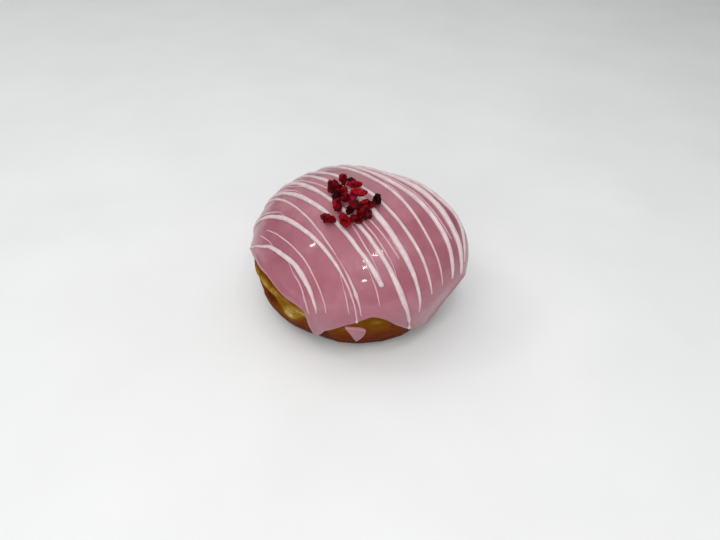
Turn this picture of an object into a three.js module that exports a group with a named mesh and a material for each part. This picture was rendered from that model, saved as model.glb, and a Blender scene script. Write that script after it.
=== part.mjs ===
// A round filled-bun type of doughnut: one baked bun, a pink glaze poured over it, fine white icing
// drizzled across the glaze in near-parallel strands, and a small heap of dried raspberry pieces.
//
// Millimetres, +Z up. The doughnut stands on its flat foot; the front of it faces -Y.
// A bearing is an angle in plan, in degrees from +X towards +Y, so the front is at 270.

import * as THREE from 'three';

// ---- driving dimensions ----------------------------------------------------------------------

const MEAN_RADIUS = 40.7; // plan radius at the widest level, before the oval and the three flats
const OVAL = 0.088; // how much longer (and shorter) than the mean the two half-diameters are
const OVAL_BEARING = 154; // the long diameter lies along this bearing
const THREE_SIDED = 0.043; // the plan is a little three-sided, as a hand-shaped bun is
const DOUGH_HEIGHT = 54.7;
const GIRTH_LEVEL = 0.525; // the widest level, as a fraction of the height
const FOOT_RATIO = 0.66; // radius of the flat foot over the radius at the widest level
const CROWN_POWER = 1.87; // the two powers that round the crown
const CROWN_ROOT = 1.96;
const BELLY_POWER = 1.41; // the power that rounds the belly, under the widest level
const LEAN_X = 0.088; // the crown rises towards +X and +Y by this share of its height
const LEAN_Y = 0.084;

const AIR = 0.35; // gap between two separate pieces
const GLAZE_BED = 0.55; // gap under the glaze, wider because its facets cut across the belly's curve
const GLAZE = 0.85; // thickness of the glaze
const GLAZE_TOP = GLAZE_BED + GLAZE; // how far the outside of the glaze stands off the dough
const GLAZE_COLUMNS = 100; // corners round the rim of the glaze
const GLAZE_RINGS = 14; // rings of corners from the middle of the glaze to its rim
const FLAP_COLUMNS = 20;
const FLAP_RINGS = 3;
const RIM_BEVEL = 0.015; // width of the bevel at the rim, as a share of the way in to the middle
const RIM_DROP = 0.1; // how far the top is down at the bevel, as a share of the glaze's thickness
const RIM_LEVEL = 0.45; // height of the rim's edge, as a share of the glaze's thickness
const EYE_HEIGHT = 22; // polar angles are measured around this point on the axis of the bun

const DRIZZLE_BEARING = 130; // the icing was poured in lines along this bearing
const STATION_ANGLE = 8; // degrees between two sections of a strand
const STRAND_SIDES = 6;
const BRUSH = 0.42; // height of a strand over its width
const END_TAPER = 0.6; // width of a strand's end over its width beside the end

const CRUMB_GAP = 0.3; // clearance under and around a crumb as it lies
const CRUMB_DENT = 0.3; // deepest hollow in a crumb, as a share of its radius

// Broad swellings (+) and hollows (-) of the bun: where, how deep in mm, and how far they spread
// round the bun in degrees and up it as a share of its height.
const SWELLINGS = [
  { bearing: 212, level: 0.16, depth: 2.2, round: 22, up: 0.2 },
  { bearing: 283, level: 0.1, depth: 1.0, round: 28, up: 0.15 },
  { bearing: 326, level: 0.36, depth: -2, round: 11, up: 0.28 },
  { bearing: 243, level: 0.12, depth: -0.8, round: 10, up: 0.25 },
];

// The rim of the glaze, as [bearing, polar angle from straight up]. A large angle is a lobe that
// ran far down the side, a small one is a bay where the dough shows.
const GLAZE_RIM = [
  [2, 94], [12, 98], [22, 103], [33, 101], [44, 95], [55, 93], [65, 97], [74, 103], [84, 102],
  [95, 95], [106, 92], [118, 94], [128, 99], [138, 101], [149, 96], [160, 90], [171, 86],
  [183, 82.5], [194, 82], [204, 80.8], [213, 79.8], [222, 81.2], [231, 81.8], [238, 82], [242.5, 83.5],
  [245.3, 88], [245, 96], [244.4, 102], [245, 107], [248.3, 109.6], [251.8, 106.5], [255, 100], [260, 95],
  [267, 89.5], [275, 85], [282, 82.8], [288.5, 85.5], [295, 92], [302, 99], [308.5, 105],
  [314, 106.5], [319, 111.5], [324, 110], [327.5, 104], [330, 95], [333, 86.5], [338, 83], [345, 84.5],
  [353, 90],
];

const CROWN = [270, 0]; // the glaze is draped around this place

// The small flap of glaze that ran on below the front rim and hangs by itself.
const FLAP = [
  [265.8, 94], [267.4, 97], [269.3, 101.5], [271.2, 107], [273.6, 111], [276.8, 107],
  [279.2, 101], [278.8, 97], [275.5, 95], [270.7, 94.2],
];
const FLAP_MIDDLE = [274, 100];

// The icing strands. `angle` runs over the bun in the strand's own upright plane, from 0 at the far
// left horizon over 90 on top to 180 at the near right one. `across` is the distance of the strand
// from the middle plane and `width` its breadth, both in mm, read off evenly from end to end.
const STRANDS = [
  { name: 'a', angle: [8, 169], across: [-33.8, -34.3, -33.3, -33.1, -32.7, -33.3, -33.8],
    width: [0.8, 1, 1.5, 1.9, 1.9, 1.6, 0.8] },
  { name: 'a_side', angle: [116, 171], across: [-34.5, -34.7, -35.2, -35.6, -35.5],
    width: [0.5, 0.6, 0.6, 0.6, 0.5] },
  { name: 'a_thread', angle: [34, 54], across: [-31.6, -32, -32.4], width: [0.5, 0.6, 0.6] },
  { name: 'b', angle: [44, 168], across: [-29.7, -29.6, -29.8, -30.1, -31, -31.6],
    width: [0.5, 0.7, 0.7, 0.7, 0.6, 0.6] },
  { name: 'c', angle: [6, 176], across: [-27.2, -25.9, -24.1, -23.7, -23.5, -23.7, -24],
    width: [0.9, 1.4, 1.9, 1.7, 1.5, 0.8, 0.7] },
  { name: 'c_tail', angle: [14, 52], across: [-25.9, -24.9, -24.1, -23.1], width: [0.7, 0.8, 0.8, 0.6] },
  { name: 'c_left', angle: [149, 169], across: [-25, -25.6, -25.9], width: [0.5, 0.6, 0.5] },
  { name: 'c_right', angle: [135, 171], across: [-22.1, -22.4, -22.6], width: [0.6, 1, 0.5] },
  { name: 'd', angle: [6, 127], across: [-17.1, -17.7, -18.5, -19.6, -21, -21.9],
    width: [0.7, 1, 1, 0.9, 0.9, 0.7] },
  { name: 'e', angle: [10, 156], across: [-15.4, -15, -14.5, -14.4, -14.8, -14.8, -14],
    width: [1, 1.5, 2, 1.8, 1.7, 1.7, 2.3] },
  { name: 'e_tail', angle: [14, 54], across: [-14, -13.6, -13.2, -12.9], width: [0.6, 0.8, 0.8, 0.6] },
  { name: 'e_thread', angle: [110, 143], across: [-11.2, -12, -12.5, -13], width: [0.5, 0.7, 0.7, 0.6] },
  { name: 'e_drop', angle: [148, 166], across: [-15.9, -16.2, -16.6], width: [0.5, 0.6, 0.5] },
  { name: 'f_tail', angle: [20, 46], across: [-10.9, -10.7, -10.8], width: [0.6, 0.7, 0.6] },
  { name: 'f', angle: [9, 189], across: [-7.8, -8.6, -9.2, -9.4, -9.8, -9.6, -9.5, -8.6, -4.4],
    width: [1, 1.5, 1.9, 1.6, 1.6, 1.6, 1.8, 1.5, 1.1] },
  { name: 'f_thread', angle: [98, 146], across: [-7.9, -7.8, -7.7, -7.9], width: [0.6, 0.7, 0.7, 0.6] },
  { name: 'g', angle: [22, 145], across: [-7, -7, -6.3, -5.6, -5.3, -5],
    width: [0.5, 0.7, 0.7, 0.7, 0.7, 0.6] },
  { name: 'h', angle: [7, 176], across: [-2.8, -2.7, -3.4, -2, -2.2, -2.7, -2.6],
    width: [0.8, 1.2, 1.6, 2.9, 2.4, 1.9, 0.8] },
  { name: 'i', angle: [12, 168], across: [0.2, 0.6, 1, 2.4, 2.9, 2.8, 2.6],
    width: [0.8, 1.2, 1.4, 1.5, 1.4, 1.3, 0.9] },
  { name: 'j', angle: [4, 166], across: [6.9, 7.6, 8.6, 9.8, 10.4, 9.3, 8.2],
    width: [0.7, 1.1, 1.4, 1.6, 1.3, 1, 0.6] },
  { name: 'j_thread', angle: [98, 110], across: [11.9, 11.7, 11.5], width: [0.5, 0.5, 0.5] },
  { name: 'k', angle: [8, 166], across: [12.4, 12.6, 12.9, 13.3, 14.3, 16.2, 16.4, 13.9],
    width: [0.8, 1.2, 1.6, 1.8, 2, 2.2, 2.1, 1.2] },
  { name: 'k_thread', angle: [78, 147], across: [15.6, 16.6, 18.1, 18.7, 18.9],
    width: [0.5, 0.5, 0.6, 0.6, 0.5] },
  { name: 'l', angle: [8, 167], across: [17.2, 17.6, 18.2, 19, 20.4, 22.6, 22.3, 19.5],
    width: [0.9, 1.3, 1.7, 2.2, 2.6, 2.8, 2.6, 1.5] },
  { name: 'm', angle: [12, 162], across: [25.5, 25.8, 26, 26.2, 26.4, 27.4, 30, 22.4],
    width: [0.8, 1.2, 1.6, 1.8, 1.9, 2, 1.8, 0.9] },
];

// The raspberry pieces, in the order in which they fell: place in plan, the three diameters
// and the bearing of the first of them.
const CRUMBS = [
  { at: [-9.5, -15.5], size: [4.9, 4.3, 4], turn: 20 },
  { at: [-3.7, -18.4], size: [4.3, 3.9, 4], turn: 75 },
  { at: [0.8, -17.2], size: [5.4, 3.3, 3.3], turn: 335 },
  { at: [4.4, -15], size: [4.6, 4.2, 4.2], turn: 50 },
  { at: [-6.5, -11], size: [3.7, 4, 3.8], turn: 15 },
  { at: [-1.6, -13.2], size: [3.2, 2.9, 3], turn: 110 },
  { at: [8.1, -9.2], size: [3.8, 4, 3.6], turn: 30 },
  { at: [-7.2, -6.5], size: [3.8, 4, 4], turn: 60 },
  { at: [-4.4, -9.6], size: [3.3, 3, 3.4], turn: 140 },
  { at: [-4.5, -3.7], size: [3.8, 3.6, 3.8], turn: 45 },
  { at: [4.5, -11.2], size: [4.4, 2.7, 2.8], turn: 25 },
  { at: [0, -15.2], size: [4.2, 3.8, 3.8], turn: 10 },
  { at: [-1, -7.6], size: [3, 3, 3.9], turn: 65 },
  { at: [2, -8.3], size: [4.8, 3, 3.4], turn: 5 },
  { at: [-0.2, -1.3], size: [5.8, 2.6, 2.8], turn: 12 },
  { at: [-8.4, -0.4], size: [5, 4.6, 4.6], turn: 100 },
  { at: [-2.2, 1.6], size: [2.7, 2.6, 2.7], turn: 80 },
  { at: [-4.7, 0.6], size: [2.9, 2.7, 4.7], turn: 0 },
];

// ---- the finishes ------------------------------------------------------------------------------

const DOUGH_FINISH = { color: 0xb07a34, roughness: 0.7, metalness: 0 };
const GLAZE_FINISH = { color: 0xb87684, roughness: 0.25, metalness: 0 };
const ICING_FINISH = { color: 0xf0e6e4, roughness: 0.4, metalness: 0 };
const BERRY_FINISH = { color: 0x8e0f22, roughness: 0.75, metalness: 0 };

// ---- the shape of the bun ------------------------------------------------------------------------

const { degToRad, radToDeg, lerp } = THREE.MathUtils;

/** The smallest angle between two bearings, in degrees. */
function bearingGap(a, b) {
  return Math.abs(((((a - b) % 360) + 540) % 360) - 180);
}

/** Plan radius of the bun at its widest level. */
function planRadius(bearing) {
  const oval = OVAL * Math.cos(degToRad(2 * (bearing - OVAL_BEARING)));
  const threeSided = THREE_SIDED * Math.cos(degToRad(3 * bearing));
  return MEAN_RADIUS * (1 + oval + threeSided);
}

/** Radius at a level from 0, the foot, to 1, the crown, over the radius at the widest level. */
function sectionRatio(level) {
  if (level > GIRTH_LEVEL) {
    const up = (level - GIRTH_LEVEL) / (1 - GIRTH_LEVEL);
    return Math.max(0, 1 - up ** CROWN_POWER) ** (1 / CROWN_ROOT);
  }
  const down = 1 - level / GIRTH_LEVEL;
  return FOOT_RATIO + (1 - FOOT_RATIO) * Math.max(0, 1 - down ** BELLY_POWER) ** (1 / BELLY_POWER);
}

/** How far the swellings push the side of the bun out at a bearing and level. */
function swelling(bearing, level) {
  let depth = 0;
  for (const s of SWELLINGS) {
    const round = bearingGap(bearing, s.bearing) / s.round;
    const up = (level - s.level) / s.up;
    depth += s.depth * Math.exp(-round * round - up * up);
  }
  return depth;
}

/** Radius of the bun, covered by a coat of the given thickness, at a bearing and level. */
function sideRadius(bearing, level, coat) {
  const bare = sectionRatio(level) * planRadius(bearing) + swelling(bearing, level);
  return bare * (1 + coat / MEAN_RADIUS);
}

/** How much higher the leaning bun is at a place in plan than an upright one would be. */
function leanFactor(x, y) {
  return 1 + (LEAN_X * x + LEAN_Y * y) / MEAN_RADIUS;
}

/** Whether a point is outside the coated bun. */
function isOutside(point, coat) {
  const level = point.z / leanFactor(point.x, point.y) / (DOUGH_HEIGHT + coat);
  if (level <= 0 || level >= 1) return true;
  const bearing = radToDeg(Math.atan2(point.y, point.x));
  return Math.hypot(point.x, point.y) > sideRadius(bearing, level, coat);
}

/** The point where a ray from inside the coated bun comes out of it. */
function skinPoint(origin, direction, coat) {
  let inner = 0;
  let outer = 2 * MEAN_RADIUS;
  const point = new THREE.Vector3();
  for (let halving = 0; halving < 34; halving += 1) {
    const middle = (inner + outer) / 2;
    point.copy(origin).addScaledVector(direction, middle);
    if (isOutside(point, coat)) outer = middle;
    else inner = middle;
  }
  return point;
}

/** The skin at a bearing and a polar angle around the eye of the bun. */
function skinAt(bearing, polar, coat) {
  const direction = new THREE.Vector3(1, 0, 0)
    .applyAxisAngle(new THREE.Vector3(0, 1, 0), degToRad(polar - 90))
    .applyAxisAngle(new THREE.Vector3(0, 0, 1), degToRad(bearing));
  return skinPoint(new THREE.Vector3(0, 0, EYE_HEIGHT), direction, coat);
}

/** Moves every corner of a geometry to the place that `place` works out from it. */
function remap(geometry, place) {
  const corners = geometry.attributes.position;
  const corner = new THREE.Vector3();
  for (let i = 0; i < corners.count; i += 1) {
    corner.fromBufferAttribute(corners, i);
    const moved = place(corner);
    corners.setXYZ(i, moved.x, moved.y, moved.z);
  }
  geometry.computeVertexNormals();
  return geometry;
}

/** A value read at a fraction along a list of evenly spaced ones, rounded between them. */
function readAlong(values, fraction) {
  const curve = new THREE.SplineCurve(values.map((value, i) => new THREE.Vector2(i, value)));
  return curve.getPoint(fraction).y;
}

// ---- the pieces ------------------------------------------------------------------------------

const doughnut = new THREE.Group();

function addPiece(name, geometry, finish) {
  const mesh = new THREE.Mesh(geometry, new THREE.MeshStandardMaterial(finish));
  mesh.name = name;
  doughnut.add(mesh);
  return mesh;
}

/** The bun: its section turned round the axis, then pushed out to the plan and leant over. */
function makeDough() {
  const segments = 60;
  const profile = [new THREE.Vector2(0, 0)];
  const levels = [
    0, 0.03, 0.09, 0.17, 0.26, 0.35, 0.43, 0.49, 0.56, 0.63, 0.7, 0.78, 0.85, 0.91, 0.96, 0.99,
  ];
  for (const level of levels) profile.push(new THREE.Vector2(1, level));
  profile.push(new THREE.Vector2(0, 1));
  return remap(new THREE.LatheGeometry(profile, segments), (corner) => {
    const level = corner.y;
    const onAxis = Math.hypot(corner.x, corner.z) < 0.5;
    const bearing = radToDeg(Math.atan2(corner.x, corner.z)) + 90;
    const radius = onAxis ? 0 : sideRadius(bearing, level, 0);
    const x = radius * Math.cos(degToRad(bearing));
    const y = radius * Math.sin(degToRad(bearing));
    return new THREE.Vector3(x, y, level * DOUGH_HEIGHT * leanFactor(x, y));
  });
}

/**
 * A coat of glaze inside a closed rim given by [bearing, polar] corners. A thin disc, with a top
 * and an underside that meet at the rim, is draped over the bun around the given middle.
 */
function makeCoat(rim, middle, columns, rings) {
  const flat = ([bearing, polar]) => {
    const angle = degToRad(bearing);
    return new THREE.Vector3(polar * Math.cos(angle), polar * Math.sin(angle), 0);
  };
  const centre = flat(middle);
  const outline = new THREE.CatmullRomCurve3(rim.map(flat), true, 'catmullrom', 0.5);
  const edge = outline.getPoints(columns);

  const profile = [new THREE.Vector2(0, GLAZE_TOP)];
  for (let ring = 1; ring < rings; ring += 1) profile.push(new THREE.Vector2(ring / rings, GLAZE_TOP));
  profile.push(new THREE.Vector2(1 - RIM_BEVEL, GLAZE_TOP - RIM_DROP * GLAZE));
  profile.push(new THREE.Vector2(1, GLAZE_BED + RIM_LEVEL * GLAZE));
  profile.push(new THREE.Vector2(1 - RIM_BEVEL, GLAZE_BED));
  for (let ring = rings - 1; ring > 0; ring -= 1) profile.push(new THREE.Vector2(ring / rings, GLAZE_BED));
  profile.push(new THREE.Vector2(0, GLAZE_BED));

  const disc = new THREE.LatheGeometry(profile.reverse(), columns);
  return remap(disc, (corner) => {
    const reach = Math.hypot(corner.x, corner.z);
    const turn = Math.atan2(corner.x, corner.z) / (2 * Math.PI);
    const column = Math.round((1 + turn) * columns) % columns;
    const spot = new THREE.Vector3().lerpVectors(centre, edge[column], reach);
    const polar = Math.hypot(spot.x, spot.y);
    return skinAt(radToDeg(Math.atan2(spot.y, spot.x)), polar, corner.y);
  });
}

// The directions along and across the strands, in plan.
const ALONG = new THREE.Vector3(1, 0, 0)
  .applyAxisAngle(new THREE.Vector3(0, 0, 1), degToRad(DRIZZLE_BEARING));
const SIDE = new THREE.Vector3(ALONG.y, -ALONG.x, 0);

/** A strand of icing: a long bead with a flat underside, laid over the glaze in an upright plane. */
function makeStrand({ angle, across, width }) {
  const [from, to] = angle;
  const stations = Math.max(3, Math.round((to - from) / STATION_ANGLE));

  const centreLine = (fraction, coat) => {
    const origin = SIDE.clone().multiplyScalar(readAlong(across, fraction));
    origin.z = EYE_HEIGHT;
    const swing = degToRad(lerp(from, to, fraction));
    const direction = ALONG.clone().multiplyScalar(Math.cos(swing));
    direction.z = Math.sin(swing);
    return skinPoint(origin, direction, coat);
  };

  // The cross direction lies in the glaze, square to the strand's own run.
  const frameAt = (fraction) => {
    const centre = centreLine(fraction, GLAZE_TOP + AIR);
    const step = 0.01;
    const ahead = centreLine(Math.min(1, fraction + step), GLAZE_TOP + AIR);
    const behind = centreLine(Math.max(0, fraction - step), GLAZE_TOP + AIR);
    const run = ahead.sub(behind).normalize();
    const outward = surfaceNormal(centre, GLAZE_TOP + AIR);
    const cross = new THREE.Vector3().crossVectors(run, outward).normalize();
    return { centre, outward, cross };
  };

  const frames = [];
  for (let i = 0; i <= stations; i += 1) frames.push(frameAt(i / stations));

  const bead = new THREE.CylinderGeometry(1, 1, 1, STRAND_SIDES, stations);
  return remap(bead, (corner) => {
    const station = Math.round((corner.y + 0.5) * stations);
    const fraction = station / stations;
    const { centre, outward, cross } = frames[station];
    const taper = station === 0 || station === stations ? END_TAPER : 1;
    const breadth = readAlong(width, fraction) * taper;
    const height = BRUSH * breadth;
    return centre
      .clone()
      .addScaledVector(cross, (corner.x * breadth) / 2)
      .addScaledVector(outward, height * Math.max(0, corner.z));
  });
}

/** The outward direction of the coated bun at a point on its skin. */
function surfaceNormal(point, coat) {
  const eye = new THREE.Vector3(0, 0, EYE_HEIGHT);
  const ray = point.clone().sub(eye).normalize();
  const left = new THREE.Vector3(-ray.y, ray.x, 0).normalize();
  const up = new THREE.Vector3().crossVectors(ray, left);
  const nudge = 0.02;
  const probe = (direction, amount) =>
    skinPoint(eye, ray.clone().addScaledVector(direction, amount).normalize(), coat);
  const sideways = probe(left, nudge).sub(probe(left, -nudge));
  const upwards = probe(up, nudge).sub(probe(up, -nudge));
  const normal = sideways.cross(upwards).normalize();
  return normal.dot(ray) < 0 ? normal.negate() : normal;
}

/** A repeatable random number from 0 to 1 for a piece and a draw. */
function draw(piece, number) {
  const wave = Math.sin(piece * 127.1 + number * 311.7 + 17.3) * 43758.5453;
  return wave - Math.floor(wave);
}

/** How high the glaze, with the icing on it, reaches at a place in plan. */
function toppedHeight(x, y) {
  const up = new THREE.Vector3(0, 0, 1);
  const glaze = skinPoint(new THREE.Vector3(x, y, EYE_HEIGHT), up, GLAZE_TOP);
  let height = glaze.z;
  for (const { angle, across, width } of STRANDS) {
    const swing = radToDeg(Math.atan2(glaze.z - EYE_HEIGHT, glaze.dot(ALONG)));
    const fraction = (swing - angle[0]) / (angle[1] - angle[0]);
    if (fraction < 0 || fraction > 1) continue;
    const breadth = readAlong(width, fraction);
    const offset = Math.abs(glaze.dot(SIDE) - readAlong(across, fraction));
    if (offset < breadth / 2 + AIR) height = Math.max(height, glaze.z + AIR + BRUSH * breadth);
  }
  return height;
}

/** Half the height of an ellipsoid crumb over a place in plan, or null beside it. */
function crumbHalfHeight(crumb, x, y) {
  const turn = degToRad(crumb.turn);
  const dx = x - crumb.at[0];
  const dy = y - crumb.at[1];
  const u = (dx * Math.cos(turn) + dy * Math.sin(turn)) / (crumb.size[0] / 2);
  const v = (dy * Math.cos(turn) - dx * Math.sin(turn)) / (crumb.size[1] / 2);
  const inside = 1 - u * u - v * v;
  return inside > 0 ? (Math.sqrt(inside) * crumb.size[2]) / 2 : null;
}

/** Lets a crumb down until it touches the icing or a crumb under it; returns its middle height. */
function settle(crumb, fallen) {
  const reach = Math.max(crumb.size[0], crumb.size[1]) / 2;
  const steps = 12;
  let height = 0;
  for (let i = -steps; i <= steps; i += 1) {
    for (let j = -steps; j <= steps; j += 1) {
      const x = crumb.at[0] + (reach * i) / steps;
      const y = crumb.at[1] + (reach * j) / steps;
      const half = crumbHalfHeight(crumb, x, y);
      if (half === null) continue;
      height = Math.max(height, toppedHeight(x, y) + half);
      for (const other of fallen) {
        const top = crumbHalfHeight(other, x, y);
        if (top !== null) height = Math.max(height, other.height + top + half);
      }
    }
  }
  return height + CRUMB_GAP;
}

/** A dried raspberry piece: a lump with flats and hollows, nowhere larger than its ellipsoid. */
function makeCrumb(crumb, number) {
  const lump = new THREE.IcosahedronGeometry(1, 1);
  const shape = remap(lump, (corner) => {
    const key = Math.round(corner.x * 91) + Math.round(corner.y * 57) * 3 + Math.round(corner.z * 73) * 7;
    return corner.clone().multiplyScalar(1 - CRUMB_DENT * draw(number + 1, key));
  });
  return shape.scale(crumb.size[0] / 2, crumb.size[1] / 2, crumb.size[2] / 2);
}

// ---- assembly ----------------------------------------------------------------------------------

addPiece('dough', makeDough(), DOUGH_FINISH);
addPiece('glaze', makeCoat(GLAZE_RIM, CROWN, GLAZE_COLUMNS, GLAZE_RINGS), GLAZE_FINISH);
addPiece('glaze_flap', makeCoat(FLAP, FLAP_MIDDLE, FLAP_COLUMNS, FLAP_RINGS), GLAZE_FINISH);

for (const strand of STRANDS) addPiece(`icing_strand_${strand.name}`, makeStrand(strand), ICING_FINISH);

const fallen = [];
CRUMBS.forEach((crumb, i) => {
  const height = settle(crumb, fallen);
  fallen.push({ ...crumb, height });
  const number = String(i + 1).padStart(2, '0');
  const piece = addPiece(`raspberry_crumb_${number}`, makeCrumb(crumb, i), BERRY_FINISH);
  piece.position.set(crumb.at[0], crumb.at[1], height);
  piece.rotation.z = degToRad(crumb.turn);
});

// The origin is on the ground under the middle of the doughnut.
const box = new THREE.Box3().setFromObject(doughnut);
const middle = box.getCenter(new THREE.Vector3());
doughnut.position.set(-middle.x, -middle.y, -box.min.z);

export default doughnut;
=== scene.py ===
"""The looks of a glazed bun doughnut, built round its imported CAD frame.

Metres, +Z up, the front faces -Y. The bun, the glaze, every icing strand and every crumb is a piece
of its own that stands for the CAD node of the same place. Places and sizes are read from the frame.
A bearing is an angle in plan from +X; a polar angle is measured from straight up around EYE.
"""
import math
from collections import namedtuple

import bmesh
import bpy
import numpy as np
from mathutils import Matrix, Vector, noise
from mathutils.bvhtree import BVHTree


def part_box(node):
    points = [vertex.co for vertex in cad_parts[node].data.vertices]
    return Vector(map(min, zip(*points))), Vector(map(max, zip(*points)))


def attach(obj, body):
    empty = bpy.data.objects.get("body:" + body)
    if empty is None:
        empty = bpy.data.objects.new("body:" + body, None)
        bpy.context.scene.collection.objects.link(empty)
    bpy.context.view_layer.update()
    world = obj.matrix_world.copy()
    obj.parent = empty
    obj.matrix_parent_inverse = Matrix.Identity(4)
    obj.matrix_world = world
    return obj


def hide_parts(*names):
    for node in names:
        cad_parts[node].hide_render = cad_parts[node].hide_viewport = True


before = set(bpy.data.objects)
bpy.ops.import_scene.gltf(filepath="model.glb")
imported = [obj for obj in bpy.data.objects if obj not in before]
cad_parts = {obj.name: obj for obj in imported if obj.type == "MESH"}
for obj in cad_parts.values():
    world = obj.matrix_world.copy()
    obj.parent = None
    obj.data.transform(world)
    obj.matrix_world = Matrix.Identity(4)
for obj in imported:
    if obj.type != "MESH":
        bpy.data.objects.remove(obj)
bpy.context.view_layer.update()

MM = 0.001

# ---- the camera ------------------------------------------------------------------------------

VIEW_ELEVATION = math.radians(38.62)
VIEW_ROLL = math.radians(2.06)
VIEW_DISTANCE = 266.6 * MM
VIEW_AIM = Vector((1.01, 10.09, 8.16)) * MM  # from the point on the ground under the middle of the bun
LENS = 30  # mm
SENSOR_WIDTH = 36  # mm
NEAR_CLIP, FAR_CLIP = 0.01, 20  # m

# ---- the bun and the glaze -------------------------------------------------------------------

EYE = Vector((0, 0, 22 * MM))  # inside the bun; every map of it is drawn from here
MAP_STEP = 2.0  # degrees between two samples of the CAD surface
MAP_BLUR = 3.2  # degrees; takes the CAD model's facets out

# Layers of smooth noise, as (height, size in mm, seed) and for some the stretch along each axis.
# Heights are in mm, except that BROWN_WANDER changes the browning and BREADTH_WANDER is a share.
LUMPS = ((0.30, 13.0, 3), (0.10, 6.5, 3))  # the ones that all layers of the doughnut share
SKIN_BUMPS = ((0.17, 3.2, 21, (1, 1, 1.7)), (0.08, 1.3, 22))
FOLD_WRINKLES = ((0.5, 2.6, 27, (1, 1, 1.7)), (0.2, 1.1, 28))
BROWN_WANDER = ((0.1, 14, 25), (0.08, 5, 26, (1, 1, 2)))
RIM_RAGGING = ((0.35, 5.5, 31), (0.16, 2.2, 32))
GLAZE_WAVES = ((0.16, 9.5, 41), (0.07, 4.0, 42), (0.025, 1.9, 43))
BREADTH_WANDER = ((0.12, 6.0, 52), (0.06, 2.5, 53))
CRUMB_BUMPS = ((0.36, 1.5, 62), (0.22, 0.7, 63), (0.1, 0.33, 64))

# Local swellings, as bearing, its reach, polar angle, its reach, and height in mm.
LEFT_SWELLING = (184, 13, 93, 7, 1.1)  # in all layers
FOLD_SWELLINGS = ((203, 16, 103, 10, 0.9), (230, 8, 98, 5, 1.3))  # in the skin beside the fold

BUN_COLUMNS = 420
FINE_BAND = (66, 140)  # polar angles between which the bun has closely spaced rows
FINE_STEP = 0.62  # degrees between two of those rows
COARSE_STEP = 3.0  # and between two others
LAST_ROW = 179  # no row lies at or beyond this polar angle; the middle of the foot closes the bun
PIT_SPACING, PIT_DEPTH = 2.6, 0.22  # mm
PIT_EDGE = (0.08, 0.3)  # from its middle, over the spacing, where a pit begins to rise and where it ends
SKIN_FADES = (66, 74, 132, 144)  # polar angles where the relief of the skin comes in and goes out

# A coat of glaze: corners round its rim, thickness, reach of its rounded edge, height of the swollen
# lip beside that, size of the waves along the rim, how far the rim runs on beyond the CAD model's
# sharp one, and the distance between two rings of corners.
Coat = namedtuple("Coat", "columns thickness rounding lip ragging overhang spacing")
GLAZE = Coat(640, 1.15 * MM, 1.15 * MM, 0.42 * MM, 0.95, 1.2 * MM, 0.85 * MM)
FLAP = Coat(120, 1.1 * MM, 1.7 * MM, 0, 0.3, 0, 0.5 * MM)

GLAZE_RUN_OFF = 0.45 * MM  # how much thicker it is low on the sides, where it ran together
RUN_OFF_BAND = (70, 108)  # polar angles between which it grows that much thicker
GLAZE_ROOT = 0.5 * MM  # how far the hidden underside lies in the bun
UNDERSIDE_RINGS = 8
BAY = (180, 198, 216, 236)  # bearings where the near left bay comes in and goes out
BAY_SHARE = 1.4  # how much less overhang there is along that bay, as a share of it
UPRIGHT = (88, 104)  # polar angles between which the side turns under and the overhang ends

RIM_SAMPLES = 900
RIM_HALVINGS = 16  # steps of the search for the rim in one direction
FARTHEST_RIM = 130.0  # degrees from the middle of a coat; no rim lies beyond
RIM_BLUR = 0.8 * MM  # reach of the blur that takes the facets out of the rim
MEAN_DISTANCE = 42  # mm from EYE to the skin near the rim
RIM_RINGS = (0, 0.08, 0.18, 0.3, 0.44, 0.6, 0.8, 1.0, 1.25, 1.55, 1.9, 2.3, 2.8, 3.4, 4.0)  # mm from it
LIP_PLACE, LIP_REACH = 1.6 * MM, 1.2 * MM  # the swollen lip's distance from the rim and its reach
WAVELESS_RIM = 2.5 * MM  # how far from the rim the waves of the top reach their full height
RIM_TUCK = 0.3 * MM  # how far the very rim dips under the skin of the bun
PAINTED_RIM_HIGHLIGHT = (0.6, 0.25 * MM, 0.3 * MM)  # painted highlight along the thin rounded rim, for light bounced up into it: how pale, where that peaks and its reach
CHUNK = 2000  # corners measured at a time, to bound the memory

# ---- the icing -------------------------------------------------------------------------------

DRIZZLE_BEARING = math.radians(130)
ALONG = Vector((math.cos(DRIZZLE_BEARING), math.sin(DRIZZLE_BEARING), 0))
SIDE = Vector((ALONG.y, -ALONG.x, 0))
STRAND_SINK = 0.16 * MM  # how far its flat underside lies in the glaze
OUTSIDE = 0.2  # m from EYE, beyond everything
RAY_MISSED = 0.04  # m from EYE, where a point lies if there is no glaze below it
CAD_SECTION_SHARE = 0.866  # a six-sided CAD section is this much narrower than the strand
STRAND_STEP = 0.55 * MM  # distance between two sections
STRAND_RADIUS = 45 * MM  # typical distance from EYE
STRAND_SAMPLES = 40  # taken to find out how long a strand is
LEAST_SECTIONS = 10
STRAND_WOBBLE = 0.08 * MM  # to the sides
STRAND_HEIGHT = 0.22 * MM  # height of a strand of no breadth
STRAND_STEEPNESS = 0.38  # how much higher it is for its breadth
STRAND_END = 0.7  # reach of the rounded end over the breadth
NARROWEST_END, LOWEST_END = 0.12, 0.05  # what the rounded end leaves of the breadth and the height
SECTION_CORNERS = 11  # over the top of a section, from side to side
SECTION_FULLNESS = 0.75  # power of the sine that shapes the top; 1 is half an ellipse
THIN_BREADTH = 1.2  # mm; the glaze begins to shine through narrower strands
THIN_SPAN = 0.9  # mm from there to full show-through
MOST_SHOWN = 0.6  # of the glaze's colour

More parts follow.
